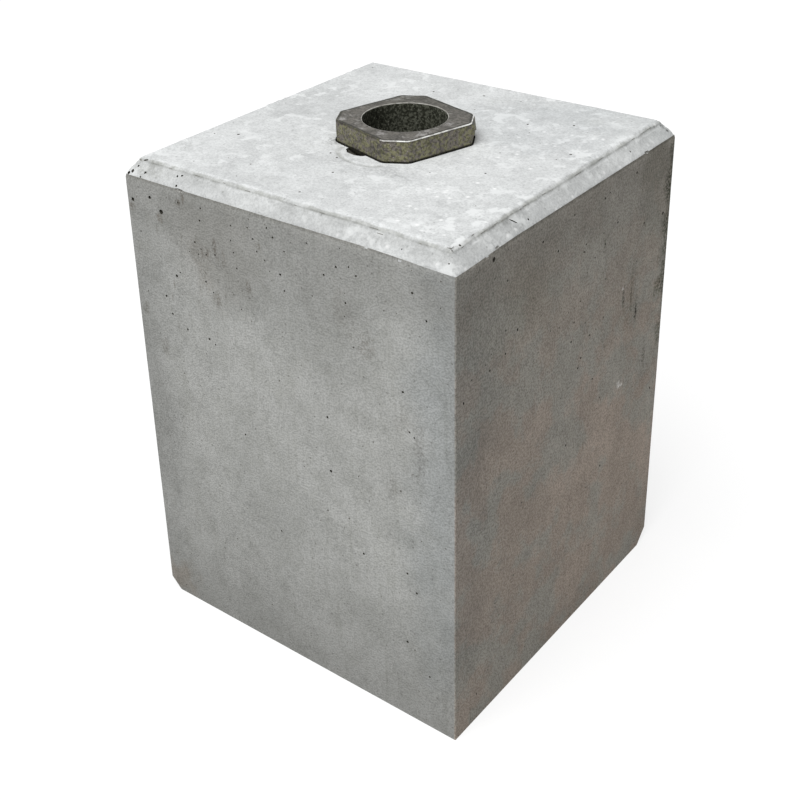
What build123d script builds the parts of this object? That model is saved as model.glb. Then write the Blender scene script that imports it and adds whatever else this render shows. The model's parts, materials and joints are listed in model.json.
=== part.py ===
"""Precast concrete pier block with a steel post socket cast into its axis.

The block is a square concrete prism that stands on its flat base. Its upper rim is chamfered by a
strip in the mould, and the concrete was trowelled off a little above that strip, so the top stands
proud of the chamfer as a low pad. A steel sleeve runs down the axis to the base, where it drains, and
a square steel collar with cut corners closes its upper end. The collar's lower edge is bedded in the
pad, and the collar sits at an angle to the block, as it set in the casting. The concrete didn't quite
fill the space beside one side of the collar, which left a shallow void there.

Millimetres, +Z up, origin at the centre of the base. The block's sides face along X and Y.
"""

from build123d import *

import os

# Concrete block
block_width = 300.0  # plan side of the square block
block_height = 400.0  # base to trowelled top
chamfer_leg = 10.0  # each leg of the chamfer around the upper rim
pad_rise = 2.4  # trowelled top above the chamfer's upper edge
pad_round = 1.2  # worn rim of the trowelled top
arris_round = 1.0  # upright arrises of the mould
left_corner_break = (5.0, 5.0, 8.0)  # worn base corner at -X -Y, along X, Y and Z
right_corner_break = (8.0, 14.0, 9.0)  # worn base corner at +X +Y, along X, Y and Z

# Post socket
bore_diameter = 65.0  # clear bore of the collar and of the sleeve
sleeve_wall = 3.0

# Collar at the socket's mouth
collar_side = 87.5  # across the flats of the square
collar_thickness = 19.5
collar_bedding = 2.5  # depth of the collar's underside below the trowelled top
collar_corner_cut = 14.5  # leg of each cut corner
collar_corner_round = 6.0  # upright edges beside the cut corners
collar_turn = -16.0  # degrees about Z, from the block's sides
collar_edge_break = 0.8  # chamfer around the collar's upper outline
bore_edge_break = 1.0  # chamfer at the mouth of the bore

# Void in the concrete beside the collar's -Y side
void_length = 24.0
void_width = 13.0  # half of it lies under the collar
void_depth = 5.5  # below the trowelled top
void_shift = 1.0  # centre along the collar's side, from its middle

# Sizes that follow
bore_radius = bore_diameter / 2
sleeve_radius = bore_radius + sleeve_wall
shoulder_height = block_height - pad_rise
pad_width = block_width - 2 * chamfer_leg
collar_underside = block_height - collar_bedding
collar_plane = Plane.XY.offset(collar_underside).rotated((0, 0, collar_turn))


def corner_plane(sign, legs):
    """Plane across the base corner at (sign X, sign Y), cutting the three edges at these legs."""
    half = sign * block_width / 2
    on_x_edge = Vector(half - sign * legs[0], half, 0)
    on_y_edge = Vector(half, half - sign * legs[1], 0)
    on_z_edge = Vector(half, half, legs[2])
    normal = (on_x_edge - on_z_edge).cross(on_y_edge - on_z_edge)
    inward = Vector(0, 0, block_height / 2) - on_z_edge
    return Plane(origin=on_z_edge, z_dir=normal if normal.dot(inward) > 0 else -normal)


# Outline of the collar, which its seat in the concrete shares
with BuildSketch(collar_plane) as collar_outline:
    Rectangle(collar_side, collar_side)
    chamfer(collar_outline.vertices(), length=collar_corner_cut)
    fillet(collar_outline.vertices(), radius=collar_corner_round)


# The cast block: chamfered prism, trowelled pad, seat of the collar, void and way of the sleeve
with BuildPart() as block:
    with BuildSketch():
        Rectangle(block_width, block_width)
    extrude(amount=shoulder_height)
    chamfer(block.faces().sort_by(Axis.Z)[-1].edges(), length=chamfer_leg)
    fillet(block.edges().filter_by(Axis.Z), radius=arris_round)
    with BuildSketch(Plane.XY.offset(shoulder_height)):
        Rectangle(pad_width, pad_width)
    extrude(amount=pad_rise)
    fillet(block.faces().sort_by(Axis.Z)[-1].outer_wire().edges(), radius=pad_round)
    extrude(collar_outline.sketch, amount=collar_bedding, mode=Mode.SUBTRACT)
    with BuildSketch(collar_plane.offset(collar_bedding)):
        with Locations((void_shift, -collar_side / 2)):
            SlotOverall(void_length, void_width)
    extrude(amount=-void_depth, mode=Mode.SUBTRACT)
    Hole(radius=sleeve_radius)
    split(bisect_by=corner_plane(-1, left_corner_break), keep=Keep.TOP)
    split(bisect_by=corner_plane(1, right_corner_break), keep=Keep.TOP)


# Steel tube from the base up to the collar's underside
with BuildPart() as sleeve:
    with BuildSketch():
        Circle(sleeve_radius)
        Circle(bore_radius, mode=Mode.SUBTRACT)
    extrude(amount=collar_underside)


# Steel plate with cut corners and a round bore, edges broken on the upper face
with BuildPart() as collar:
    extrude(collar_outline.sketch, amount=collar_thickness)
    with Locations(collar_plane):
        Hole(radius=bore_radius)
    upper_face = collar.faces().sort_by(Axis.Z)[-1]
    outline = upper_face.outer_wire().edges()
    mouth = upper_face.inner_wires()[0].edges()
    chamfer(outline, length=collar_edge_break)
    chamfer(mouth, length=bore_edge_break)


# One STEP file for each piece
os.makedirs("parts", exist_ok=True)
block.part.label = "concrete_block"
sleeve.part.label = "socket_sleeve"
collar.part.label = "socket_collar"
for piece in (block, sleeve, collar):
    export_step(piece.part, f"parts/{piece.part.label}.step")
    print(f"{piece.part.label}: {piece.part.volume / 1000:.1f} cm3")
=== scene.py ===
# %% [markdown]
# # A concrete pier block with a steel socket
# The block is cast in a square mould and its open top is trowelled by hand. A steel tube down its
# middle takes a post, and a thick square collar closes the tube's upper end. This lesson makes what
# shows of the three pieces: the pores, knocks and trowel waves of the concrete, the worn collar, and
# the finishes that tell cast, trowelled and rusting surfaces apart. Lengths are in metres, and Z is up.

import json
import math
import random

import bmesh
import bpy
from mathutils import Matrix, Quaternion, Vector


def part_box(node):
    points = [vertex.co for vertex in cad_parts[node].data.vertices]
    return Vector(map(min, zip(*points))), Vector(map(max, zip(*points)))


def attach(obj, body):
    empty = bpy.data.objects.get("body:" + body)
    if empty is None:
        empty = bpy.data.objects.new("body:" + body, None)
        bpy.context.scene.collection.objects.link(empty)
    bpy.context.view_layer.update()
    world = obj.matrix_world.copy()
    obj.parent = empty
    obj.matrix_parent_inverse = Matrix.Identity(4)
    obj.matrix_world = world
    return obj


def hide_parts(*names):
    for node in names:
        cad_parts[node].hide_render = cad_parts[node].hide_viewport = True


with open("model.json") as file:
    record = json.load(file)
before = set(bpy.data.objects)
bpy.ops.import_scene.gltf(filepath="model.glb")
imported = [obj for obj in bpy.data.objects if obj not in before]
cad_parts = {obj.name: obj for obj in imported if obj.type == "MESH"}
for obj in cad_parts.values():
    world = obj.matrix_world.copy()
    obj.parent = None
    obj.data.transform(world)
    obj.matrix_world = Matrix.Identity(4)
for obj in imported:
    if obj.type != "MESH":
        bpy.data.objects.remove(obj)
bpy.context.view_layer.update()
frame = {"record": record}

# %% [markdown]
# The solid model fixes every outer size, so those are read from it. The few sizes that a box can't
# give, such as the leg of the chamfer, are written out as they are on the real block.

# %% Sizes
MM = 0.001
block_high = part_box("concrete_block")[1]
collar_low, collar_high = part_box("socket_collar")
sleeve_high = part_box("socket_sleeve")[1]
mounts = {mount["name"]: mount for mount in frame["record"]["mounts"]}

half_width = block_high.x
top_height = block_high.z
collar_underside = collar_low.z
collar_top = collar_high.z
sleeve_radius = sleeve_high.x
bore_radius = mounts["socket"]["dims"]["r_mm"] * MM

chamfer_leg = 10 * MM
pad_rise = 2.4 * MM
shoulder = top_height - pad_rise
chamfer_foot = shoulder - chamfer_leg
pad_half = half_width - chamfer_leg
collar_side = 87.5 * MM
collar_corner_cut = 14.5 * MM
collar_corner_round = 6 * MM
collar_turn = math.radians(-16)
print("block", 2 * half_width, "wide and", top_height, "high, bore", 2 * bore_radius)

# %% [markdown]
# ## The camera
# The camera stands to the right of the block's front edge and looks down at it. Where it stands comes
# from the corners of the block in the photograph. Its small shift puts the block where the photograph
# has it without turning the camera away, which would change how the edges converge.

# %% Camera
camera_place = Vector((0.5586, -0.7438, 0.7447))
camera_azimuth = math.radians(39.237)
camera_elevation = math.radians(25.934)
camera_roll = math.radians(1.975)

camera = bpy.data.objects.new("camera", bpy.data.cameras.new("camera"))
bpy.context.scene.collection.objects.link(camera)
bpy.context.scene.camera = camera
looking = Vector((-math.sin(camera_azimuth), math.cos(camera_azimuth), 0)) * math.cos(camera_elevation)
looking.z = -math.sin(camera_elevation)
camera.location = camera_place
camera.rotation_mode = "QUATERNION"
camera.rotation_quaternion = Quaternion(looking, camera_roll) @ looking.to_track_quat("-Z", "Y")
camera.data.sensor_width = 36
camera.data.lens = 58.59
camera.data.shift_x = 0.0503
camera.data.shift_y = -0.1663
camera.data.clip_start = 0.01
print("camera", round(camera_place.length, 3), "m from the middle of the base")

# %% [markdown]
# ## Tools of the bench
# Every piece is shaped by Blender's own operators, which act on whatever is selected. So the first
# helpers select one object alone, or pick faces or edges of it by their place.

# %% Selecting
def make_active(piece):
    """Select one object alone, in object mode."""
    if bpy.context.object and bpy.context.object.mode != "OBJECT":
        bpy.ops.object.mode_set(mode="OBJECT")
    bpy.ops.object.select_all(action="DESELECT")
    piece.select_set(True)
    bpy.context.view_layer.objects.active = piece


def add_mesh(operator, name, **settings):
    """Add one of Blender's basic meshes, alone selected, and name it."""
    bpy.ops.object.select_all(action="DESELECT")
    operator(**settings)
    piece = bpy.context.object
    piece.name = name
    bpy.ops.object.transform_apply()
    return piece


def pick(piece, kind, wanted):
    """Go into edit mode with only those faces or edges selected that are wanted."""
    make_active(piece)
    bpy.ops.object.mode_set(mode="EDIT")
    bpy.ops.mesh.select_mode(type=kind)
    bpy.ops.mesh.select_all(action="DESELECT")
    shape = bmesh.from_edit_mesh(piece.data)
    parts = shape.faces if kind == "FACE" else shape.edges
    for part in parts:
        if wanted(part):
            part.select_set(True)
    bmesh.update_edit_mesh(piece.data)


def ends(edge):
    """The places of an edge's two ends."""
    return edge.verts[0].co, edge.verts[1].co


def is_upright(edge):
    """True for an edge that runs up and down."""
    low, high = ends(edge)
    return (low.xy - high.xy).length < 0.01 * MM < abs(low.z - high.z)

# %% [markdown]
# Slicing a piece by planes gives it a grid of small faces, fine enough to carry waves and dents. A
# Displace modifier then moves the grid by a cloud pattern, and a vertex group says where and how
# much. Each modifier is applied at once, so the mesh itself holds the shape.

# %% Slicing and roughening
def slice_across(piece, axis, places):
    """Cut a piece by a plane across an axis at each of these places."""
    make_active(piece)
    bpy.ops.object.mode_set(mode="EDIT")
    normal = Vector((0, 0, 0))
    normal[axis] = 1
    for place in places:
        bpy.ops.mesh.select_all(action="SELECT")
        bpy.ops.mesh.bisect(plane_co=normal * place, plane_no=normal)


def spaced(start, stop, step):
    """Places from start to stop, about a step apart."""
    count = round((stop - start) / step)
    return [start + (stop - start) * i / count for i in range(count + 1)]


def apply_modifier(piece, kind, **settings):
    """Add a modifier to a piece, set it up and apply it."""
    make_active(piece)
    modifier = piece.modifiers.new(kind.lower(), kind)
    for name, value in settings.items():
        setattr(modifier, name, value)
    bpy.ops.object.modifier_apply(modifier=modifier.name)


def weigh(piece, name, weight_at):
    """Make a vertex group whose weights come from each point's place."""
    make_active(piece)
    group = piece.vertex_groups.new(name=name)
    for vertex in piece.data.vertices:
        weight = weight_at(vertex.co)
        if weight > 0:
            group.add([vertex.index], min(weight, 1), "REPLACE")
    return name


def roughen(piece, zone, weight_at, depth, grain, middle=1.0, direction="NORMAL"):
    """Move the surface by a cloud pattern: inwards only if middle is 1, both ways if it is 0.5."""
    clouds = bpy.data.textures.new(zone, "CLOUDS")
    clouds.noise_scale = grain
    clouds.noise_depth = 2
    apply_modifier(
        piece, "DISPLACE", texture=clouds, texture_coords="LOCAL",
        vertex_group=weigh(piece, zone, weight_at), strength=depth, mid_level=middle,
        direction=direction,
    )


def fade(distance, near, far):
    """1 nearer than near, 0 beyond far, and a smooth step between."""
    share = min(max((far - distance) / (far - near), 0), 1)
    return share * share * (3 - 2 * share)


# %% [markdown]
# ## The cast block
# The mould gives a sharp prism, with a strip in it that forms the chamfer. The concrete was struck off
# a little above that strip, so the trowelled top is a low pad that stands on the chamfer. A cube with
# rounded arrises is the prism. Its top face is then extruded and scaled, step by step, along the
# section of the chamfer and of the pad's soft rim.

# %% Prism, chamfer and pad
arris_round = 0.8 * MM
pad_section = [  # out, up
    (1.8, -1.8), (1.0, -0.9), (0.4, 0), (-0.3, 0.7), (-1.1, 1.3), (-2.0, 1.8), (-3.1, 2.2), (-4.3, 2.4),
]

block = add_mesh(
    bpy.ops.mesh.primitive_cube_add, "cast_block", size=1, location=(0, 0, chamfer_foot / 2),
    scale=(2 * half_width, 2 * half_width, chamfer_foot),
)
pick(block, "EDGE", is_upright)
bpy.ops.mesh.bevel(offset=arris_round, offset_type="OFFSET", segments=3)

pick(block, "FACE", lambda face: face.normal.z > 0.9)
width, height = half_width, chamfer_foot
for out, up in pad_section:
    rise = shoulder + up * MM - height
    share = (pad_half + out * MM) / width
    bpy.ops.mesh.extrude_region_move(TRANSFORM_OT_translate={"value": (0, 0, rise)})
    bpy.ops.transform.resize(value=(share, share, 1), center_override=(0, 0, height + rise))
    width, height = width * share, height + rise
print("blank with chamfer and pad:", round(width * 1000, 1), "mm half wide at", round(height, 4))

# %% [markdown]
# ## A grid to work in
# A slice every 5 mm is enough for the sides. The top and the chamfer show their dents more, so they
# are subdivided once, and the concrete around the collar a second time.

# %% Grid
coarse = 5 * MM
collar_surround = 72 * MM


def off_centre(place):
    """How far a place is from the axis, measured square to the nearest side."""
    return max(abs(place.x), abs(place.y))


def is_near_hip(face):
    """Where the slices leave slivers, along the hips between two chamfers."""
    middle = face.calc_center_median()
    on_rim = middle.z > chamfer_foot - MM and off_centre(middle) > pad_half - 2 * MM
    return on_rim and abs(abs(middle.x) - abs(middle.y)) < 4 * MM


offset_places = spaced(coarse / 2 - half_width, half_width - coarse / 2, coarse)
slice_across(block, 0, offset_places)
slice_across(block, 1, offset_places)
slice_across(block, 2, spaced(coarse, chamfer_foot - coarse / 2, coarse))

pick(block, "FACE", lambda face: face.calc_center_median().z > chamfer_foot - coarse / 2)
bpy.ops.mesh.subdivide()
pick(block, "FACE", lambda face: face.normal.z > 0.9
     and face.calc_center_median().xy.length < collar_surround)
bpy.ops.mesh.subdivide()
pick(block, "FACE", is_near_hip)
bpy.ops.mesh.dissolve_degenerate(threshold=0.5 * MM)
bpy.ops.mesh.select_all(action="SELECT")
bpy.ops.mesh.delete_loose()
make_active(block)
print("grid:", len(block.data.polygons), "faces")

# %% [markdown]
# ## Waves, wobbles and wear
# The sides copy a mould that is nearly flat. The top was floated by hand, so it has shallow waves, and
# its rim wanders in and out a little. The chamfer and the arris lost grains as the mould came off.
# Near the collar a dish was pressed in with a tool, and slurry was left standing at one of its corners.
# The block's near corner was struck off a little low, and the two chamfers at the back are narrower
# and rounder than those in front.

# %% Zones of the surface
def collar_frame(place):
    """A place in the collar's own directions, in millimetres."""
    return Matrix.Rotation(-collar_turn, 2) @ place.xy / MM


def side_weight(place):
    return fade(abs(off_centre(place) - half_width), 0, 1 * MM) * (place.z > 0)


def top_weight(place):
    return (place.z > top_height - 0.1 * MM) * fade(off_centre(place), 0.9 * pad_half, pad_half)


def rim_weight(place):
    from_rim = abs(off_centre(place) - pad_half)
    return fade(from_rim, 1.5 * MM, 2.5 * MM) * (place.z > shoulder - 2 * MM)


def chamfer_weight(place):
    return float(chamfer_foot - 0.1 * MM < place.z < shoulder)


def arris_weight(place):
    return fade(abs(place.z - chamfer_foot), 0.5 * MM, 3 * MM)


def hip_weight(place):
    """The four hips, where two chamfers meet."""
    return fade(abs(abs(place.x) - abs(place.y)), 1 * MM, 3.5 * MM) * chamfer_weight(place)


def left_hip_weight(place):
    return hip_weight(place) * (place.x < 0) * (place.y < 0)


def corner_weight(place):
    """The four upper corners of the block, from the arris to the pad."""
    from_corner = Vector((abs(place.x) - pad_half, abs(place.y) - pad_half)).length
    return fade(from_corner, 4 * MM, 11 * MM) * (place.z > chamfer_foot - 2 * MM)


def narrow_weight(inward, height):
    """A chamfer narrower than the two in front, by how far a place is inside the pad's rim."""
    up_chamfer = min(max((height - chamfer_foot) / (0.6 * chamfer_leg), 0), 1)
    return up_chamfer * fade(inward, 0, 45 * MM)


def left_weight(place):
    return narrow_weight(pad_half + place.x, place.z)


def back_weight(place):
    return narrow_weight(pad_half - place.y, place.z)


def sagged_weight(place):
    """The upper corner nearest to the camera, which was struck off a little low."""
    from_corner = Vector((half_width - place.x, half_width + place.y)).length
    return fade(from_corner, sag_full, sag_reach) * fade(top_height - place.z, 13 * MM, 34 * MM)


def dish_weight(place):
    """A shallow arc pressed in around the void."""
    along, across = collar_frame(place)
    distance = abs(math.hypot((along - 8) / 25.5, (across + 44) / 15.5) - 1) * 15.5
    return fade(distance, 0.4, 2.6) * (place.z > top_height - MM) * (across < -45)


def smear_weight(place):
    """Slurry left against the collar's left corner."""
    along, across = collar_frame(place)
    return fade(math.hypot((along + 38) / 14, (across + 42) / 8), 0.3, 1) * (place.z > top_height - MM)


roughen(block, "sides", side_weight, depth=0.25 * MM, grain=70 * MM)
roughen(block, "top", top_weight, depth=1.0 * MM, grain=60 * MM)
roughen(block, "rim", rim_weight, depth=1.8 * MM, grain=14 * MM, middle=0.55)
roughen(block, "rim grains", rim_weight, depth=0.9 * MM, grain=4 * MM, middle=0.6)
roughen(block, "chamfer", chamfer_weight, depth=0.5 * MM, grain=9 * MM, middle=0.8)
roughen(block, "arris", arris_weight, depth=0.9 * MM, grain=7 * MM)
corner_sag = 1.9 * MM
sag_full = 4 * MM  # from the corner, as far as it sags by all of that
sag_reach = 72 * MM  # from the corner, where the sag has run out
for name, weight_at, shift, direction in (
    ("left chamfer", left_weight, -3 * MM, "X"), ("back chamfer", back_weight, 3 * MM, "Y"),
    ("sagged", sagged_weight, -corner_sag, "Z"), ("dish", dish_weight, -1 * MM, "Z"),
    ("smear", smear_weight, 1.2 * MM, "Z"),
):
    apply_modifier(
        block, "DISPLACE", vertex_group=weigh(block, name, weight_at),
        strength=shift, mid_level=0, direction=direction,
    )
apply_modifier(
    block, "SMOOTH", vertex_group=weigh(block, "corners", corner_weight), factor=0.5, iterations=6
)
roughen(block, "hips", hip_weight, depth=0.9 * MM, grain=5 * MM, direction="Z")
roughen(block, "left hip", left_hip_weight, depth=0.8 * MM, grain=4 * MM, direction="Z")
print("waves and wear added in", len(block.vertex_groups), "zones")

# %% [markdown]
# Two corners of the base are worn from being stood on and walked about. Each takes three plane cuts,
# one across the corner and two shallower ones beside it, which leaves it blunt but not flat.

# %% Worn base corners
def cut_corner(piece, corner, legs):
    """Cut a base corner off by a plane that meets its three edges at these legs."""
    across = [math.copysign(1 / leg, side) for leg, side in zip(legs, corner.xy)]
    normal = Vector((*across, -1 / legs[2]))
    on_plane = Vector((corner.x, corner.y, legs[2]))
    make_active(piece)
    bpy.ops.object.mode_set(mode="EDIT")
    bpy.ops.mesh.select_all(action="SELECT")
    bpy.ops.mesh.bisect(plane_co=on_plane, plane_no=normal, clear_outer=True, use_fill=True)


left_corner = Vector((-half_width, -half_width, 0))
right_corner = Vector((half_width, half_width, 0))
for corner, legs in ((left_corner, (3.5, 3.5, 7)), (right_corner, (8, 13, 9))):
    for stretch in ((1, 1, 1), (1.3, 1.25, 0.55), (0.55, 0.5, 1.5)):
        cut_corner(block, corner, [leg * part * MM for leg, part in zip(legs, stretch)])
make_active(block)
print("base corners worn:", len(block.data.polygons), "faces")

# %% [markdown]
# ## Cutting the openings
# A Boolean takes the shape of one closed piece out of another. The collar's blank is made first,
# because a slightly larger copy of it cuts the seat that it is bedded in. The gap between the two
# shows in the photograph as a thin dark line. The faces that a cut leaves take the cutter's material,
# so what lies inside a pore or a joint gets a darker finish of its own, partly dirt and partly
# painted shade.

# %% Collar blank
# painted shade with some dirt: the dark lining of pores, crevices, the seat gap, the sleeve's way and the
# void
pore_dirt_and_shade = bpy.data.materials.new("pore lining")


def add_collar_blank(name, low, high, growth=0.0):
    """Square plate with cut and rounded corners, not yet turned."""
    side = collar_side + 2 * growth
    plate = add_mesh(
        bpy.ops.mesh.primitive_cube_add, name, size=1, location=(0, 0, (low + high) / 2),
        scale=(side, side, high - low),
    )
    pick(plate, "EDGE", is_upright)
    bpy.ops.mesh.bevel(offset=collar_corner_cut, offset_type="OFFSET", segments=1)
    pick(plate, "EDGE", is_upright)
    tangent = collar_corner_round * math.tan(math.pi / 8)
    bpy.ops.mesh.bevel(offset=tangent, offset_type="OFFSET", segments=4)
    make_active(plate)
    return plate


def turn_collar(plate):
    """Turn a piece from the collar's own directions into its place on the block."""
    make_active(plate)
    plate.rotation_euler.z = collar_turn
    bpy.ops.object.transform_apply()


collar = add_collar_blank("steel_collar", collar_underside, collar_top)
seat_cutter = add_collar_blank("seat", collar_underside, top_height + 5 * MM, growth=0.6 * MM)
turn_collar(seat_cutter)
print("collar blank:", len(collar.data.polygons), "faces")

# %% Cutting
def cut(piece, cutter):
    """Take a cutter's shape out of a piece and remove the cutter."""
    apply_modifier(
        piece, "BOOLEAN", object=cutter, operation="DIFFERENCE", solver="EXACT",
        material_mode="TRANSFER",
    )
    bpy.data.objects.remove(cutter)


def add_cylinder(name, radius, low, high, corners=128, ends="NGON"):
    return add_mesh(
        bpy.ops.mesh.primitive_cylinder_add, name, vertices=corners, radius=radius, depth=high - low,
        location=(0, 0, (low + high) / 2), end_fill_type=ends,
    )


sleeve_way = add_cylinder("way of the sleeve", sleeve_radius, -5 * MM, top_height + 5 * MM)
for cutter in (seat_cutter, sleeve_way):
    cutter.data.materials.append(pore_dirt_and_shade)
    cut(block, cutter)
print("seat and sleeve way cut:", len(block.data.polygons), "faces")

# %% [markdown]
# ## Pores, chips and the void
# Air bubbles against the mould leave round pores, and bumps leave chips along the arris. All of them
# are bites of one rough little ball, which is modelled once and copied, stretched and turned for each
# place. The pores that catch the eye in the photograph are listed one by one. The small ones between
# them are random, from a fixed seed, and keep away from the rest, so that no two balls touch.

# %% The ball that bites
def add_rough_ball(name, fineness, offset, seed):
    """A ball of radius 1 with its points moved at random."""
    rough = add_mesh(bpy.ops.mesh.primitive_ico_sphere_add, name, subdivisions=fineness, radius=1)
    bpy.ops.object.mode_set(mode="EDIT")
    bpy.ops.transform.vertex_random(offset=offset, seed=seed)
    make_active(rough)
    return rough


ball = add_rough_ball("ball", 2, offset=0.14, seed=4)
chance = random.Random(11)
# painted shade with some dirt, less dark, inside the small random pores
small_pore_dirt_and_shade = bpy.data.materials.new("small pore dirt and shade")
broken_grain = bpy.data.materials.new("broken grain")
balls = []


def add_ball(place, radii, along=(1, 0, 0)):
    """Copy the ball to a place in millimetres, with its first radius along a direction."""
    copy = ball.copy()
    copy.data = ball.data.copy()
    bpy.context.scene.collection.objects.link(copy)
    spin = Quaternion((1, 0, 0), chance.uniform(0, math.tau))
    copy.rotation_mode = "QUATERNION"
    copy.rotation_quaternion = Vector(along).to_track_quat("X", "Z") @ spin
    copy.scale = Vector(radii) * MM
    copy.location = Vector(place) * MM
    balls.append(copy)


def bite(piece, finish):
    """Join the balls so far and cut them out of a piece, with a finish for what they lay bare."""
    make_active(balls[0])
    for copy in balls:
        copy.select_set(True)
    bpy.ops.object.transform_apply()
    bpy.ops.object.join()
    balls.clear()
    bpy.context.object.data.materials.append(finish)
    cut(piece, bpy.context.object)


print("ball with", len(ball.data.polygons), "faces")

# %% Where the pores are
front_pores = [  # x, z, radius
    (-114, 365, 1.9), (-144, 368, 1.5), (-125, 374, 1.4), (-74, 368, 1.0), (-104, 315, 1.2),
    (-118, 294, 1.0), (-113, 280, 1.0), (-75, 270, 1.1), (-98, 271, 0.9), (53, 366, 1.0),
    (70, 364, 0.9), (42, 357, 0.9), (-3, 373, 0.9), (2, 346, 1.0), (116, 365, 1.0), (127, 348, 0.9),
    (107, 288, 0.9), (112, 258, 0.9), (116, 255, 0.8), (40, 197, 1.1), (-45, 196, 0.9), (39, 243, 0.9),
    (-14, 119, 0.9), (68, 135, 0.9), (108, 136, 0.9), (116, 122, 0.9), (127, 49, 0.9), (107, 72, 1.0),
    (-73, 319, 0.9), (-61, 344, 0.8), (-81, 349, 0.8), (60, 341, 0.8), (-43, 372, 0.7), (-44, 360, 0.7),
    (-22, 367, 0.7), (7, 365, 0.7), (-12, 353, 0.7), (-19, 358, 0.7), (-42, 351, 0.7), (-40, 339, 0.7),
    (28, 377, 0.7), (64, 369, 0.7), (-66, 312, 0.7), (-72, 378, 0.7), (-139, 343, 0.7), (-75, 345, 0.7),
    (-78, 340, 0.7), (5, 334, 0.7), (-100, 319, 0.7), (-70, 342, 0.7), (-95, 377, 0.8), (-69, 267, 0.7),
    (-8, 379, 0.7),
]
right_pores = [  # y, z, radius
    (88, 376, 1.1), (40, 372, 1.1), (138, 325, 1.4), (62, 345, 1.0), (106, 328, 1.0), (-46, 370, 0.9),
    (12, 340, 0.9), (-107, 381, 1.6), (-76, 316, 1.0), (-91, 304, 0.9), (-110, 300, 1.0), (11, 244, 1.1),
    (35, 223, 0.9), (-1, 272, 1.0), (-141, 290, 1.0), (15, 251, 0.9), (138, 164, 1.0), (-2, 182, 1.0),
    (56, 131, 1.0), (-25, 355, 0.9), (102, 252, 1.0), (-122, 24, 0.9), (-4, 375, 0.8), (44, 334, 0.8),
    (48, 271, 0.8), (10, 301, 0.8), (18, 321, 0.7), (15, 345, 0.7), (29, 329, 0.7), (2, 287, 0.8),
    (19, 279, 0.7), (27, 265, 0.9), (47, 374, 0.7), (-90, 359, 0.8), (-91, 322, 0.7), (79, 271, 0.7),
]
top_pores = [  # x, y, radius
    (-113, -64, 1.2), (-28, -55, 1.0), (-18, -60, 0.9), (-2, -84, 0.9), (2, -125, 0.9), (-47, 103, 1.1),
    (-6, 117, 1.1), (60, 78, 0.9), (91, 95, 1.0), (120, 40, 1.1), (89, -25, 0.9),
]
chamfer_pores = [  # x, y, z, radius
    (-131, -146, 391, 1.0), (-134, -149, 388, 0.9), (-100, -143, 394, 0.9), (-96, -142, 395, 0.9),
    (-97, -148, 389, 0.9), (139, -138, 397, 0.9), (141, -141, 394, 0.9), (141, -145, 391, 0.9),
    (145, -145, 391, 0.9), (139, -130, 397, 1.0), (105, -145, 391, 0.7), (146, -60, 391, 0.8),
    (145, 85, 393, 0.8), (-147, -148, 388, 1.4), (-144, -147, 390, 1.6), (-141, -143, 393, 1.2),
]

# %% Placing the pores
half_mm = round(half_width / MM)
top_mm = round(top_height / MM)
foot_mm = round(chamfer_foot / MM)
taken = []


def is_free(place, room):
    return all((Vector(place) - other).length > room for other in taken)


def add_pore(place, radius):
    stretch = [radius * chance.uniform(0.85, 1.2) for _ in range(3)]
    add_ball(place, stretch, (chance.uniform(-1, 1), chance.uniform(-1, 1), chance.uniform(-1, 1)))
    taken.append(Vector(place))


for x, z, radius in front_pores:
    add_pore((x, -half_mm, z), radius)
for y, z, radius in right_pores:
    add_pore((half_mm, y, z), radius)
for x, y, radius in top_pores:
    add_pore((x, y, top_mm - 0.4), radius)
for x, y, z, radius in chamfer_pores:
    add_pore((x, y, z), radius)
bite(block, pore_dirt_and_shade)
print(len(taken), "pores placed by hand")

small_pores_per_side = 60
small_pores_on_top = 24
for turn in range(4):
    onto_side = Matrix.Rotation(turn * math.pi / 2, 3, "Z")
    placed = 0
    while placed < small_pores_per_side:
        across = chance.uniform(8 - half_mm, half_mm - 8)
        height = foot_mm * (1 - chance.random() ** 1.5) - 6
        place = onto_side @ Vector((across, -half_mm, max(height, 8)))
        if is_free(place, 7):
            add_pore(place, chance.uniform(0.4, 0.8))
            placed += 1
while placed < small_pores_per_side + small_pores_on_top:
    place = Vector((chance.uniform(-132, 132), chance.uniform(-132, 132), top_mm - 0.4))
    if is_free(place, 8) and place.xy.length > 66:
        add_pore(place, chance.uniform(0.45, 0.75))
        placed += 1
bite(block, small_pore_dirt_and_shade)
print(len(taken), "pores with the random ones")

# %% Chips along the arris, and crevices at the corners
chips = [  # place, radii, direction of the first radius
    ((-93, -150, 387), (6.0, 1.5, 1.3), (1, 0, 0)), ((128, -150, 388), (3.6, 1.6, 1.4), (1, 0, -0.2)),
    ((150, -101, 388), (4.5, 1.9, 1.7), (0, 1, 0.1)), ((150, 103, 388), (4.0, 1.9, 1.7), (0, 1, -0.2)),
    ((-60, 150, 388), (5.0, 1.8, 1.5), (1, 0, 0)), ((-150, 40, 388), (4.0, 1.7, 1.6), (0, 1, 0)),
]
crevices = [
    ((-136, -140, 398), (2.6, 0.7, 0.7), (1, 0.2, 0.3)),
    ((-128, -141, 398), (2.8, 0.5, 0.6), (1, 0, 0)), ((138, 146, 396), (2.6, 1.1, 1.0), (1, 0.4, -0.8)),
    ((145, 142, 394), (3.4, 0.6, 0.6), (1, 0.2, -1)), ((-137, -141, 395), (1.8, 0.7, 0.7), (1, 0.3, 0.6)),
    ((143, -74, 394), (4.2, 0.6, 0.7), (0.6, 0.8, -0.6)),
]
for places, finish in ((crevices, pore_dirt_and_shade), (chips, broken_grain)):
    for place, radii, along in places:
        add_ball(place, radii, along)
    bite(block, finish)
print("bitten by pores and chips:", len(block.data.polygons), "faces")

# %% [markdown]
# The void beside the collar is a hollow that the concrete never filled. Half of it lies under the
# collar, so only a dark slot shows. One larger bite, finely divided and roughened, makes it.

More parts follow.
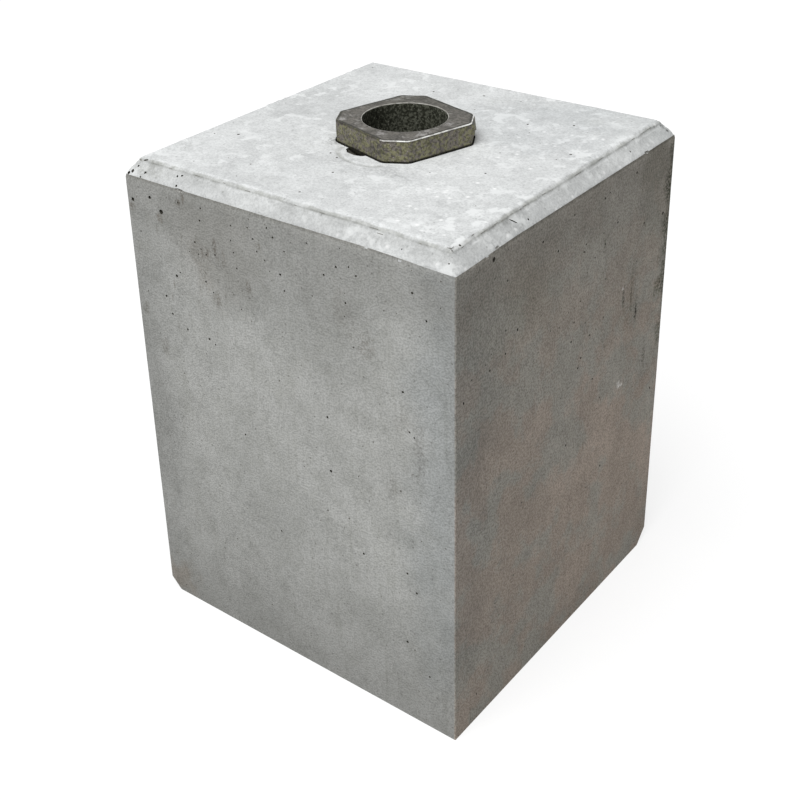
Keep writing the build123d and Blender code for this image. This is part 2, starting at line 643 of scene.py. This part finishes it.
# %% Void
hollow = add_rough_ball("hollow", 3, offset=0.1, seed=8)
hollow.scale = Vector((11.4, 6.8, 5.6)) * MM
hollow.location = Vector((-1, -collar_side / MM / 2, top_mm)) * MM
bpy.ops.object.transform_apply()
turn_collar(hollow)
hollow.data.materials.append(pore_dirt_and_shade)
cut(block, hollow)
bpy.data.objects.remove(ball)
pick(block, "FACE", lambda face: True)
bpy.ops.mesh.remove_doubles(threshold=0.001 * MM)
make_active(block)
print("void cut:", len(block.data.polygons), "faces")

# %% Finishes by place
formed_concrete = bpy.data.materials.new("formed concrete")
trowelled_concrete = bpy.data.materials.new("trowelled concrete")


def set_finishes(piece, materials, finish_of):
    """Give a piece these materials, and each face the number that finish_of says."""
    make_active(piece)
    numbers = [finish_of(face) for face in piece.data.polygons]
    piece.data.materials.clear()
    for material in materials:
        piece.data.materials.append(material)
    piece.data.polygons.foreach_set("material_index", numbers)
    bpy.ops.object.shade_smooth_by_angle(angle=math.radians(35))


block_finishes = (formed_concrete, trowelled_concrete, pore_dirt_and_shade, small_pore_dirt_and_shade, broken_grain)
cut_finishes = list(block.data.materials)


def block_finish(face):
    """Cut faces keep the cutter's finish. The rest are trowelled if they look up, above the arris."""
    finish = cut_finishes[face.material_index]
    above_arris = face.center.z > chamfer_foot - (2.6 if sagged_weight(face.center) > 0 else 0.8) * MM
    return block_finishes.index(finish) if finish else int(face.normal.z > 0.35 and above_arris)


set_finishes(block, block_finishes, block_finish)
print("slots", [material.name for material in block.data.materials])

# %% [markdown]
# ## The collar
# The collar is flame-cut plate, so its outline is crisp above, rubbed along the upper edges and a
# little ragged where the cut ended. The blank gets its bore, the broken edges, a grid, and then wear.

# %% Collar
collar_edge_break = 0.9 * MM
bore_edge_break = 0.6 * MM
cut(collar, add_cylinder("bore", bore_radius, collar_underside - MM, collar_top + MM, corners=96))
mouth_reach = bore_radius + 2 * MM


def on_collar_top(edge):
    return all(place.z > collar_top - 0.01 * MM for place in ends(edge))


def on_upper_outline(edge):
    return on_collar_top(edge) and all(place.xy.length > mouth_reach for place in ends(edge))


def on_bore_mouth(edge):
    return on_collar_top(edge) and all(place.xy.length < mouth_reach for place in ends(edge))


pick(collar, "EDGE", on_upper_outline)
bpy.ops.mesh.bevel(offset=collar_edge_break, offset_type="OFFSET", segments=2)
pick(collar, "EDGE", on_bore_mouth)
bpy.ops.mesh.bevel(offset=bore_edge_break, offset_type="OFFSET", segments=2)

steel_grid = 2.5 * MM
for axis in (0, 1):
    reach = collar_side / 2 - steel_grid
    slice_across(collar, axis, spaced(-reach, reach, steel_grid))
slice_across(collar, 2, spaced(collar_underside + steel_grid, collar_top - steel_grid, steel_grid))


def outside_weight(place):
    return fade(-place.xy.length, -bore_radius - 4 * MM, -bore_radius - 2 * MM)


def ragged_weight(place):
    """The cut corner at +X +Y, below its upper edge."""
    depth = collar_top - place.z
    out = (place.x + place.y) / math.sqrt(2)
    return fade(-out, -53 * MM, -48 * MM) * fade(abs(depth - 7 * MM), 2.5 * MM, 6 * MM)


roughen(collar, "outside", outside_weight, depth=0.45 * MM, grain=9 * MM)
roughen(collar, "ragged corner", ragged_weight, depth=7.0 * MM, grain=7 * MM, middle=0.15)
turn_collar(collar)
print("collar:", len(collar.data.polygons), "faces")

# %% Finishes of the collar
plate_steel = bpy.data.materials.new("weathered plate")
side_steel = bpy.data.materials.new("tarnished flame cut")
rubbed_and_glinting_steel = bpy.data.materials.new("rubbed edge")
socket_steel = bpy.data.materials.new("socket wall")


def collar_finish(face):
    """0 for the upper face, 1 for the sides, 2 for rubbed edges with a painted glint and 3 for the bore.
    """
    along, across = collar_frame(face.center)
    upward = face.normal.z
    near_top = face.center.z > collar_top - 1.6 * MM
    if face.center.xy.length < bore_radius + 0.3 * MM and upward < 0.3:
        return 3
    if near_top and 0.25 < upward < 0.96:
        # painted glint: the bevels on the side that faces the light, along > 27, and round the mouth take
        # the bright rubbed finish
        return 2 if face.center.xy.length < mouth_reach or along > 27 else 1
    return int(upward < 0.5)


set_finishes(collar, (plate_steel, side_steel, rubbed_and_glinting_steel, socket_steel), collar_finish)
print("collar finishes:", [material.name for material in collar.data.materials])

# %% [markdown]
# ## The sleeve
# The lining of the socket is a plain tube below the collar. It is a cylinder without ends whose wall
# is added by Solidify. Only its inside is ever seen, by looking down the socket.

# %% Sleeve
sleeve = add_cylinder("steel_sleeve", sleeve_radius, 0, sleeve_high.z, corners=96, ends="NOTHING")
apply_modifier(sleeve, "SOLIDIFY", thickness=sleeve_radius - bore_radius, offset=-1)
slice_across(sleeve, 2, spaced(20 * MM, sleeve_high.z - 10 * MM, 10 * MM))
set_finishes(sleeve, (socket_steel,), lambda face: 0)
print("sleeve:", len(sleeve.data.polygons), "faces")

# %% [markdown]
# ## Nodes for the finishes
# The three concretes and the steels share a few effects: soft clouds, a ragged blot at one place,
# and specks. Each is a node group that is built once, takes the place on the object, and puts out
# a mask from 0 to 1.

# %% Adding nodes
def add_node(tree, kind, inputs=None, **settings):
    """Add a node, set it up, and give its inputs a value or a link."""
    node = tree.nodes.new("ShaderNode" + kind)
    for name, value in settings.items():
        setattr(node, name, value)
    for name, value in (inputs or {}).items():
        if isinstance(value, bpy.types.NodeSocket):
            tree.links.new(value, node.inputs[name])
        else:
            node.inputs[name].default_value = value
    return node


def maths(tree, operation, *values):
    """The number that comes of these values."""
    return add_node(tree, "Math", dict(enumerate(values)), operation=operation).outputs[0]


def vector_maths(tree, operation, *values):
    """The outputs of a sum with vectors: Vector, or Value where it gives a number."""
    return add_node(tree, "VectorMath", dict(enumerate(values)), operation=operation).outputs


def new_group(name, vectors, numbers):
    """Start a node group that puts out a mask, and return it with its input and output sockets."""
    group = bpy.data.node_groups.new(name, "ShaderNodeTree")
    for kind, names in (("Vector", vectors), ("Float", numbers)):
        for socket_name in names:
            group.interface.new_socket(socket_name, in_out="INPUT", socket_type="NodeSocket" + kind)
    group.interface.new_socket("Mask", in_out="OUTPUT", socket_type="NodeSocketFloat")
    given = group.nodes.new("NodeGroupInput").outputs
    made = group.nodes.new("NodeGroupOutput").inputs["Mask"]
    return group, given, made


def mask_of(tree, group, **values):
    """Put a group into a material and return its mask."""
    return add_node(tree, "Group", values, node_tree=group).outputs["Mask"]


# %% Clouds
cloud_group, given, made = new_group("Clouds", ("Place", "Stretch"), ("Scale", "Detail", "Low", "High"))
stretched = vector_maths(cloud_group, "MULTIPLY", given["Place"], given["Stretch"])["Vector"]
puffs = add_node(
    cloud_group, "TexNoise",
    {"Vector": stretched, "Scale": given["Scale"], "Detail": given["Detail"], "Roughness": 0.6},
).outputs[0]
spread = add_node(
    cloud_group, "MapRange", {"Value": puffs, "From Min": given["Low"], "From Max": given["High"]},
    interpolation_type="SMOOTHSTEP",
).outputs["Result"]
cloud_group.links.new(spread, made)
print("group", cloud_group.name)

# %% Blot
blot_group, given, made = new_group("Blot", ("Place", "Centre", "Size", "Shake"), ("Ragged", "Gaps"))
from_centre = vector_maths(blot_group, "SUBTRACT", given["Place"], given["Centre"])["Vector"]
in_sizes = vector_maths(blot_group, "DIVIDE", from_centre, given["Size"])["Vector"]
shaking = vector_maths(blot_group, "SUBTRACT", given["Shake"], (0.5, 0.5, 0.5))["Vector"]
shaken = vector_maths(blot_group, "MULTIPLY", shaking, given["Ragged"])["Vector"]
moved = vector_maths(blot_group, "ADD", in_sizes, shaken)["Vector"]
distance = vector_maths(blot_group, "LENGTH", moved)["Value"]
falloff = add_node(
    blot_group, "MapRange", {"Value": distance, "From Min": 1.0, "From Max": 0.25},
    interpolation_type="SMOOTHERSTEP",
).outputs["Result"]
left_over = maths(blot_group, "SUBTRACT", 1.0, given["Gaps"])
blot_group.links.new(maths(blot_group, "MULTIPLY", falloff, left_over), made)
print("group", blot_group.name)

# %% Specks
speck_group, given, made = new_group("Specks", ("Place",), ("Scale", "Size", "Share"))
cells = add_node(speck_group, "TexVoronoi", {"Vector": given["Place"], "Scale": given["Scale"]}).outputs
inside = add_node(
    speck_group, "MapRange", {"Value": cells["Distance"], "From Min": given["Size"], "From Max": 0.0},
).outputs["Result"]
cell_chance = add_node(speck_group, "SeparateColor", {"Color": cells["Color"]}).outputs["Red"]
chosen = maths(speck_group, "LESS_THAN", cell_chance, given["Share"])
speck_group.links.new(maths(speck_group, "MULTIPLY", inside, chosen), made)
print("group", speck_group.name)

# %% [markdown]
# A finish is a material with a colour that is laid on in layers. Each layer covers or tints what is
# under it, where a mask says. A stain is a blot at one place. Stains of like size share one noise
# that makes them ragged, and the small ones are speckled.

# %% A finish
class Finish:
    """A material, and the colour laid on it so far. A single number stands for a grey."""

    def __init__(self, material, roughness, gloss=0.25, metallic=0.0):
        material.use_nodes = True
        self.tree = material.node_tree
        self.shader = self.tree.nodes["Principled BSDF"]
        self.shader.inputs["Roughness"].default_value = roughness
        self.shader.inputs["Specular IOR Level"].default_value = gloss
        self.shader.inputs["Metallic"].default_value = metallic
        self.place = add_node(self.tree, "TexCoord").outputs["Object"]

    def along(self, axis):
        return add_node(self.tree, "SeparateXYZ", {0: self.place}).outputs[axis]

    def ramp(self, value, start, stop):
        """0 where a value is at start and 1 where it is at stop."""
        limits = {"Value": value, "From Min": start, "From Max": stop}
        return add_node(self.tree, "MapRange", limits).outputs["Result"]

    def clouds(self, scale, low, high, stretch=(1, 1, 1)):
        """Clouds of this scale per metre; the fine ones need less detail."""
        return mask_of(
            self.tree, cloud_group, Place=self.place, Stretch=stretch, Scale=scale,
            Detail=5 if scale < 200 else 2, Low=low, High=high,
        )

    def specks(self, scale, size, share, place=None):
        return mask_of(
            self.tree, speck_group, Place=place or self.place, Scale=scale, Size=size, Share=share
        )

    def both(self, first, second):
        """Where both masks are."""
        return maths(self.tree, "MULTIPLY", first, second)

    def mixed(self, under, over, mask, how="MIX"):
        """One colour over another, or multiplied into it, where a mask says."""
        inputs = {0: mask}
        for number, colour in ((6, under), (7, over)):
            if isinstance(colour, float):
                colour = (colour, colour, colour)
            inputs[number] = (*colour, 1) if isinstance(colour, tuple) else colour
        return add_node(self.tree, "Mix", inputs, data_type="RGBA", blend_type=how).outputs[2]

    def paint(self, dark, light, mask):
        """Start with a colour between two."""
        self.colour = self.mixed(dark, light, mask)

    def cover(self, colour, mask):
        self.colour = self.mixed(self.colour, colour, mask)

    def tint(self, colour, mask):
        self.colour = self.mixed(self.colour, colour, mask, "MULTIPLY")

    def stain(self, stains, how="MULTIPLY"):
        """Lay on each stain: centre, size, raggedness and colour, with lengths in millimetres."""
        shakes = {
            grain: add_node(self.tree, "TexNoise", {
                "Vector": self.place, "Scale": grain, "Detail": 4, "Roughness": 0.62,
            }).outputs["Color"]
            for grain in (14.0, 45.0, 130.0)
        }
        dots = self.both(self.clouds(420, 0.6, 0.4), 0.8)
        for centre, size, ragged, colour in stains:
            grain = 14.0 if min(size) > 32 else 45.0 if min(size) > 12 else 130.0
            mask = mask_of(
                self.tree, blot_group, Place=self.place, Centre=Vector(centre) * MM,
                Size=Vector(size) * MM, Shake=shakes[grain], Ragged=ragged,
                Gaps=dots if min(size) < 30 else 0.0,
            )
            self.colour = self.mixed(self.colour, colour, mask, how)

    def end(self, height, depth):
        """Connect the colour, and a height mask as relief of a depth."""
        self.tree.links.new(self.colour, self.shader.inputs["Base Color"])
        relief = add_node(self.tree, "Bump", {"Height": height, "Distance": depth}).outputs["Normal"]
        self.tree.links.new(relief, self.shader.inputs["Normal"])
        print(self.shader.id_data.name, len(self.tree.nodes), "nodes")


print("layers ready")

# %% [markdown]
# ## Formed concrete
# The sides took their skin from the mould: grey, close and matt. Soft clouds show where the paste was
# richer, and fine streaks and pinholes run down it. The stains are placed as the photograph has them:
# dark towards the outer edges and pale in the middle, with a warm cast on the right side and algae
# along its far edge. A band along the top of each side, the foot and a strip down the far right edge
# are darkened as painted shade, and a dark line runs just under the arris.

# %% Stains of the sides
left_stains = [  # x, z, width, height, raggedness, colour
    (-60, 345, 60, 60, 1.5, (0.95, 0.94, 0.93)),
    (-165, 210, 70, 260, 1.0, 0.79),
    (-30, 275, 80, 42, 1.6, 1.06),
    (125, 312, 70, 80, 1.6, 1.06),
    (110, 210, 100, 190, 1.0, 1.07),
    (0, 205, 130, 80, 1.2, 1.05),
    (140, 200, 40, 160, 1.0, 1.04),
    (-61, 349, 2.6, 13, 1.6, (0.58, 0.55, 0.52)),
    (-69, 342, 3, 7, 1.6, (0.68, 0.65, 0.62)),
    (-53, 343, 3, 9, 1.6, (0.72, 0.69, 0.66)),
    (-62, 308, 4, 9, 1.8, (0.60, 0.57, 0.54)),
    (-30, 327, 4, 9, 1.6, (0.62, 0.59, 0.56)),
    (-18, 362, 4, 5, 1.6, (0.66, 0.63, 0.59)),
    (-143, 277, 5, 8, 1.8, (0.66, 0.64, 0.61)),
    (-76, 330, 16, 40, 2.6, (0.88, 0.86, 0.84)),
    (78, 313, 10, 15, 2.2, (0.72, 0.70, 0.68)),
    (96, 206, 10, 13, 2.2, (0.78, 0.77, 0.76)),
    (120, 240, 8, 34, 2.6, (0.70, 0.69, 0.68)),
    (106, 262, 10, 18, 2.6, (0.82, 0.81, 0.80)),
    (60, 330, 16, 30, 2.8, (0.88, 0.87, 0.86)),
    (-126, 245, 6, 13, 2.0, (0.70, 0.68, 0.66)),
    (-90, 383, 2.6, 8, 1.8, (0.66, 0.62, 0.58)),
    (-95, 377, 4, 5, 1.8, (0.62, 0.58, 0.54)),
    (-116, 360, 5, 5, 1.8, (0.66, 0.62, 0.58)),
    (-146, 362, 5, 5, 1.8, (0.66, 0.62, 0.58)),
    (-138, 14, 34, 30, 1.8, (0.88, 0.82, 0.77)),
]
right_stains = [  # y, z, width, height, raggedness, colour
    (140, 350, 90, 70, 1.4, (0.86, 0.86, 0.85)),
    (-160, 230, 90, 260, 1.0, (0.79, 0.81, 0.83)),
    (60, 110, 170, 130, 1.2, (1.10, 1.08, 1.07)),
    (153, 315, 20, 125, 1.6, (0.12, 0.14, 0.09)),
    (142, 262, 14, 28, 2.4, (0.40, 0.42, 0.36)),
    (150, 372, 12, 20, 1.8, (0.60, 0.61, 0.58)),
    (146, 215, 8, 18, 2.4, (0.42, 0.44, 0.38)),
    (122, 378, 30, 34, 2.2, (0.80, 0.80, 0.78)),
    (101, 252, 3.4, 12, 1.4, (0.14, 0.14, 0.12)),
    (79, 274, 2.8, 14, 1.4, (0.34, 0.34, 0.31)),
    (92, 275, 2.2, 30, 1.4, (0.62, 0.60, 0.56)),
    (90, 268, 20, 34, 2.6, (0.80, 0.79, 0.76)),
    (121, 202, 3.4, 14, 1.8, (0.50, 0.49, 0.47)),
    (44, 335, 4, 12, 2.0, (0.62, 0.63, 0.60)),
    (-60, 338, 50, 50, 2.0, (0.93, 0.93, 0.91)),
]
side_stains = [  # centre, size, raggedness, colour
    # painted shade: a darker band along the top of the front side
    ((-30, -150, 400), (250, 90, 110), 1.0, (0.83, 0.825, 0.82)),
    *(((x, -150, z), (wide, 60, high), *rest) for x, z, wide, high, *rest in left_stains),
    # painted shade: a darker band along the top of the right side
    ((150, 0, 400), (90, 260, 100), 1.0, (0.82, 0.81, 0.81)),
    *(((150, y, z), (60, wide, high), *rest) for y, z, wide, high, *rest in right_stains),
    ((-151, -151, 194), (3.2, 3.2, 420), 0.4, (0.55, 0.54, 0.52)),
    # painted shade: a dark strip down the far right edge
    ((151, 151, 194), (3.6, 3.6, 420), 0.6, (0.30, 0.30, 0.27)),
]
pale_bits = [
    ((150, 79, 196), (9, 4.5, 4.5), 2.4, (0.85, 0.83, 0.80)),
    ((150, 84, 194), (8, 3, 3), 2.0, (0.85, 0.83, 0.80)),
    ((150, 77, 283), (6, 2.4, 2.4), 2.0, (0.70, 0.68, 0.66)),
]
print(len(side_stains), "stains")

# %% Formed concrete
cast = Finish(formed_concrete, roughness=0.85)
height = cast.along("Z")
on_right = cast.ramp(cast.along("X"), half_width - 1.5 * MM, half_width - 0.5 * MM)
broad = cast.clouds(16, 0.38, 0.62)
cast.paint((0.482, 0.487, 0.467), (0.548, 0.553, 0.533), broad)
for scale, stretch in ((45, (1, 1, 1)), (130, (1, 1, 0.7))):
    cast.tint((0.945, 0.945, 0.94), cast.clouds(scale, 0.46, 0.58, stretch))
cast.tint((0.91, 0.91, 0.90), cast.both(cast.clouds(230, 0.52, 0.7, (1, 1, 0.09)), broad))
drawn_out = vector_maths(cast.tree, "MULTIPLY", cast.place, (1, 1, 0.28))["Vector"]
upper_left = mask_of(
    cast.tree, blot_group, Place=cast.place, Centre=Vector((-95, -150, 320)) * MM,
    Size=Vector((70, 60, 90)) * MM, Shake=(0.5, 0.5, 0.5), Ragged=0.0, Gaps=0.0,
)
cast.tint((0.62, 0.59, 0.56), cast.both(cast.specks(240, 0.34, 0.3, drawn_out), upper_left))
sandy = cast.clouds(30, 0.36, 0.56)
cast.tint(0.88, cast.both(cast.clouds(330, 0.46, 0.62), sandy))
skin = cast.clouds(620, 0.42, 0.60)
cast.tint(cast.mixed(0.80, 0.68, on_right), skin)
cast.tint((0.50, 0.49, 0.47), cast.specks(300, 0.30, 0.14))
cast.cover((0.85, 0.85, 0.84), cast.both(cast.specks(350, 0.26, 0.10), on_right))
cast.tint((0.36, 0.34, 0.31), cast.both(cast.specks(150, 0.16, 0.25), sandy))

cast.tint((0.925, 0.878, 0.815), on_right)
blush = cast.both(cast.clouds(24, 0.44, 0.56), cast.ramp(height, 400 * MM, 230 * MM))
cast.tint((1.065, 0.962, 0.925), cast.both(on_right, blush))
# painted shade: the sides darker towards the foot, less so on the right side
foot = maths(cast.tree, "POWER", cast.ramp(height, 150 * MM, 0), 1.3)
cast.tint(cast.mixed((0.67, 0.665, 0.66), (0.90, 0.895, 0.89), on_right), foot)
under_chamfer = cast.ramp(height, chamfer_foot - 3 * MM, chamfer_foot - 0.6 * MM)
cast.tint(cast.mixed((0.66, 0.65, 0.63), (0.46, 0.46, 0.44), on_right), under_chamfer)
cast.stain(side_stains)
cast.stain(pale_bits, "MIX")
cast.end(skin, 0.1 * MM)

# %% [markdown]
# ## Trowelled concrete
# Working the top with a steel float brings pale, fine paste up. It dries in patches with crisp edges,
# with white flecks towards the right. Around the collar's foot it is darker, partly grey dirt and
# partly painted contact shade. The chamfer is the same pale paste, tinted a little darker than the top
# as painted shade, since it slopes away from the light above. Below the pad it darkens further, partly
# dirt and partly painted shade, most of all in a line of painted shade with some dirt at the pad's
# foot. That line goes by the height, so the sag of the near corner is added back to it.

# %% Trowelled concrete
top_stains = [
    ((60, 75, 400), (100, 90, 40), 2.0, (0.93, 0.935, 0.94)),
    ((105, 125, 400), (110, 60, 40), 2.0, (0.93, 0.935, 0.935)),
    ((-120, 20, 400), (60, 120, 40), 2.0, 0.95),
    ((-20, 20, 400), (110, 90, 40), 2.0, 0.95),
    ((125, -125, 400), (120, 90, 40), 1.5, 1.03),
    # darker round the collar's foot: partly grey dirt and partly painted contact shade
    ((10, -66, 400), (70, 18, 30), 2.2, 0.88),
    ((-40, -34, 400), (10, 12, 30), 0.9, (0.48, 0.48, 0.47)),
    ((34, -60, 400), (36, 12, 30), 2.2, 0.87),
    ((54, -24, 400), (14, 12, 30), 2.0, 0.84),
    ((-128, -145, 394), (24, 12, 14), 1.8, (0.80, 0.80, 0.785)),
    ((141, -141, 396), (11, 11, 11), 1.6, 0.84),
    ((90, -144, 396), (60, 9, 9), 1.8, 0.88),
    ((144, -100, 397), (9, 36, 9), 1.8, 0.90),
    ((141, -79, 397), (5, 8, 5), 1.6, (0.76, 0.76, 0.75)),
    ((155, 100, 388), (31, 110, 31), 1.0, 1.12),
    ((142.5, 141, 395.5), (3, 3, 4), 1.0, (0.10, 0.10, 0.09)),
    ((145.5, 144, 392.5), (3, 3, 4), 1.0, (0.10, 0.10, 0.09)),
]
top = Finish(trowelled_concrete, roughness=0.8)
near_corner = (half_width, -half_width, shoulder)
from_corner = vector_maths(top.tree, "DISTANCE", top.place, near_corner)["Value"]
sagged = top.ramp(from_corner, sag_reach, sag_full)
height = maths(top.tree, "MULTIPLY_ADD", sagged, corner_sag, top.along("Z"))
top.paint((0.66, 0.675, 0.675), (0.73, 0.745, 0.745), top.clouds(14, 0.35, 0.65))
for scale, low, high, grey in (
    (22, 0.49, 0.53, 0.955), (50, 0.50, 0.54, 0.945), (110, 0.50, 0.56, 0.945),
    (260, 0.45, 0.58, 0.955), (620, 0.44, 0.60, 0.87),
):
    top.tint(grey, top.clouds(scale, low, high))
top.cover((0.74, 0.755, 0.755), top.both(top.clouds(75, 0.52, 0.60), top.clouds(20, 0.45, 0.55)))
top.tint((0.60, 0.60, 0.59), top.specks(260, 0.28, 0.08))
to_the_right = top.ramp(top.along("X"), 10 * MM, 90 * MM)
top.cover((0.95, 0.955, 0.955), top.both(top.specks(130, 0.27, 0.4), to_the_right))

# painted shade: the chamfer a little darker than the top, as it slopes away from the light above
on_chamfer = top.ramp(height, shoulder + 0.4 * MM, shoulder - 0.4 * MM)
top.tint((0.89, 0.89, 0.885), on_chamfer)
# partly dirt and partly painted shade: darker on the chamfer just below the pad
grime_and_shade = top.both(top.ramp(height, shoulder - 8 * MM, shoulder - 1 * MM), top.clouds(55, 0.36, 0.60))
top.tint((0.84, 0.84, 0.835), top.both(grime_and_shade, on_chamfer))
# painted shade with some dirt: a dark line in the crease at the pad's foot, the plain tint for the shade
# and the clouded one for the dirt
line_above = top.ramp(height, shoulder + 1.7 * MM, shoulder + 0.9 * MM)
line_below = top.ramp(height, shoulder - 1.2 * MM, shoulder - 0.3 * MM)
foot_line = top.both(line_above, line_below)
top.tint((0.85, 0.85, 0.84), foot_line)
top.tint((0.79, 0.79, 0.77), top.both(foot_line, top.clouds(60, 0.42, 0.56)))
top.stain(top_stains)
top.end(top.clouds(500, 0.3, 0.7), 0.12 * MM)

# %% Inside the pores, dark with painted shade and some dirt, and on broken places
for material, dark, light, depth in (
    (pore_dirt_and_shade, (0.035, 0.034, 0.028), (0.09, 0.085, 0.07), 0.3),
    (small_pore_dirt_and_shade, (0.10, 0.097, 0.085), (0.22, 0.215, 0.19), 0.3),
    (broken_grain, (0.20, 0.195, 0.18), (0.42, 0.42, 0.40), 0.5),
):
    lining = Finish(material, roughness=0.95, gloss=0.1)
    grain = lining.clouds(650, 0.33, 0.67)
    lining.paint(dark, light, grain)
    lining.end(grain, depth * MM)

# %% [markdown]
# ## Steel of the collar and the socket
# The flame-cut sides carry an olive tarnish over brown-grey scale. The upper face is browner, worn
# pale in smudges, and darker along its outline. Its rubbed edges are bright, partly as worn metal and
# partly as a painted glint on the side that faces the light. The socket's wall is nearly black, and
# specked with cement. A dark line of painted shade runs round the collar's foot, down in its seat.

# %% Collar sides
side = Finish(side_steel, roughness=0.65, gloss=0.3, metallic=0.3)
height = side.along("Z")
side.paint((0.187, 0.170, 0.146), (0.231, 0.222, 0.134), side.clouds(300, 0.47, 0.53))
side.tint(0.55, side.clouds(480, 0.48, 0.58))
side.tint((0.80, 0.80, 0.84), side.clouds(80, 0.48, 0.60))
side.tint((0.38, 0.37, 0.33), side.specks(420, 0.38, 0.25))
side.cover((0.40, 0.36, 0.33), side.specks(560, 0.34, 0.16))
# painted shade: the foot of the sides, down in the seat's gap, nearly black
side.tint((0.10, 0.10, 0.085), side.ramp(height, top_height + 1.4 * MM, top_height + 0.5 * MM))
side.tint((0.42, 0.42, 0.40), side.ramp(height, collar_top - 2.3 * MM, collar_top - 0.9 * MM))
side.stain([((8, -48, 405), (13, 9, 11), 1.8, (0.50, 0.51, 0.52))])
side.end(side.clouds(300, 0.3, 0.7), 0.35 * MM)

# %% Collar's upper face
plate = Finish(plate_steel, roughness=0.6, gloss=0.3, metallic=0.3)
plate.paint((0.095, 0.089, 0.078), (0.146, 0.137, 0.121), plate.clouds(120, 0.42, 0.6))
plate.tint((0.58, 0.58, 0.57), plate.clouds(420, 0.46, 0.58))
plate.cover((0.30, 0.29, 0.28), plate.both(plate.clouds(75, 0.50, 0.64), plate.clouds(330, 0.4, 0.6)))
plate.stain([((-22, 36, 417), (60, 40, 30), 1.0, (0.70, 0.71, 0.68))])
in_collar = add_node(
    plate.tree, "VectorRotate", {"Vector": plate.place, "Angle": -collar_turn}, rotation_type="Z_AXIS"
).outputs[0]
from_middle = vector_maths(plate.tree, "ABSOLUTE", in_collar)["Vector"]
apart = add_node(plate.tree, "SeparateXYZ", {0: from_middle}).outputs
farther = maths(plate.tree, "MAXIMUM", apart["X"], apart["Y"])
both_ways = maths(plate.tree, "ADD", apart["X"], apart["Y"])
flat_edge = collar_side / 2
cut_edge = collar_side - collar_corner_cut
near_flat = plate.ramp(farther, flat_edge - 3.2 * MM, flat_edge - 2.2 * MM)
near_cut = plate.ramp(both_ways, cut_edge - 4.4 * MM, cut_edge - 3 * MM)
plate.tint((0.30, 0.31, 0.27), maths(plate.tree, "MAXIMUM", near_flat, near_cut))
plate.end(plate.clouds(300, 0.3, 0.7), 0.15 * MM)

# %% Rubbed edges with a painted glint, duller at the mouth
rubbed = Finish(rubbed_and_glinting_steel, roughness=0.45, gloss=0.5, metallic=0.6)
# partly worn bright metal and partly a painted glint
rubbed.paint((0.38, 0.37, 0.35), (0.80, 0.80, 0.78), rubbed.clouds(200, 0.35, 0.6))
level = vector_maths(rubbed.tree, "MULTIPLY", rubbed.place, (1, 1, 0))["Vector"]
from_axis = vector_maths(rubbed.tree, "LENGTH", level)["Value"]
rubbed.tint((0.58, 0.57, 0.54), rubbed.ramp(from_axis, bore_radius + 4 * MM, bore_radius + 3 * MM))
rubbed.end(rubbed.clouds(400, 0.3, 0.7), 0.1 * MM)

# %% Socket wall
wall = Finish(socket_steel, roughness=0.8, gloss=0.15)
wall.paint((0.026, 0.028, 0.019), (0.100, 0.104, 0.080), wall.clouds(480, 0.45, 0.57))
wall.cover((0.30, 0.29, 0.26), wall.specks(600, 0.38, 0.14))
wall.stain([((-34, -8, 405), (17, 30, 60), 1.2, (0.20, 0.20, 0.16))])
wall.end(wall.clouds(400, 0.3, 0.7), 0.3 * MM)

# %% [markdown]
# ## Light and floor
# The photograph has the even light of an overcast day: most of it comes from above, some onto the
# left side, and little onto the right side. A sun lamp with a very wide disc gives that with soft
# shadows, and the world fills in. The floor is white to the camera and to reflections, while for the
# light that it throws back onto the block it is as dull as ground.

# %% Sun
sun = bpy.data.objects.new("sun", bpy.data.lights.new("sun", "SUN"))
bpy.context.scene.collection.objects.link(sun)
sun_from = Vector((0.05, -0.47, 0.88))
sun.rotation_euler = sun_from.to_track_quat("Z", "Y").to_euler()
sun.data.energy = 3.0
sun.data.angle = math.radians(50)
print("sun from", tuple(sun_from))

# %% World and floor
def seen_mask(tree):
    """1 for rays that show a surface to the camera or in a reflection, and 0 for rays that light."""
    rays = add_node(tree, "LightPath").outputs
    seen = maths(tree, "MAXIMUM", rays["Is Camera Ray"], rays["Is Glossy Ray"])
    return maths(tree, "MAXIMUM", seen, rays["Is Transmission Ray"])


ambient = 0.3
ground_grey = 0.3
floor_glow = 0.72
world = bpy.data.worlds.new("overcast")
bpy.context.scene.world = world
world.use_nodes = True
sky = world.node_tree.nodes["Background"]
sky.inputs["Color"].default_value = (1, 1, 1, 1)
sky_level = add_node(
    world.node_tree, "MapRange", {"Value": seen_mask(world.node_tree), "To Min": ambient, "To Max": 1.0}
).outputs["Result"]
world.node_tree.links.new(sky_level, sky.inputs["Strength"])

floor = add_mesh(bpy.ops.mesh.primitive_plane_add, "floor", size=14, location=(0, 0, -0.2 * MM))
floor_finish = bpy.data.materials.new("studio floor")
floor_finish.use_nodes = True
tree = floor_finish.node_tree
tree.nodes.remove(tree.nodes["Principled BSDF"])
dull = add_node(tree, "BsdfDiffuse", {"Color": (ground_grey, ground_grey, ground_grey, 1)})
glow_level = maths(tree, "MULTIPLY", seen_mask(tree), floor_glow)
glow = add_node(tree, "Emission", {"Color": (1, 1, 1, 1), "Strength": glow_level})
dull_and_glow = add_node(tree, "AddShader", {0: dull.outputs[0], 1: glow.outputs[0]})
tree.links.new(dull_and_glow.outputs[0], tree.nodes["Material Output"].inputs["Surface"])
floor.data.materials.append(floor_finish)
bpy.context.scene.view_settings.view_transform = "Standard"
print("floor and sky")

# %% [markdown]
# ## The pieces on the body
# Each piece hides the part of the solid model that it stands for, says which one that is, and moves
# with the one body.

# %% Finish
for piece, node, slot in (
    (block, "concrete_block", "concrete"),
    (collar, "socket_collar", "collar_steel"),
    (sleeve, "socket_sleeve", "sleeve_steel"),
):
    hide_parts(node)
    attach(piece, "root")
    print(piece.name, len(piece.data.polygons), "faces stands for", node)
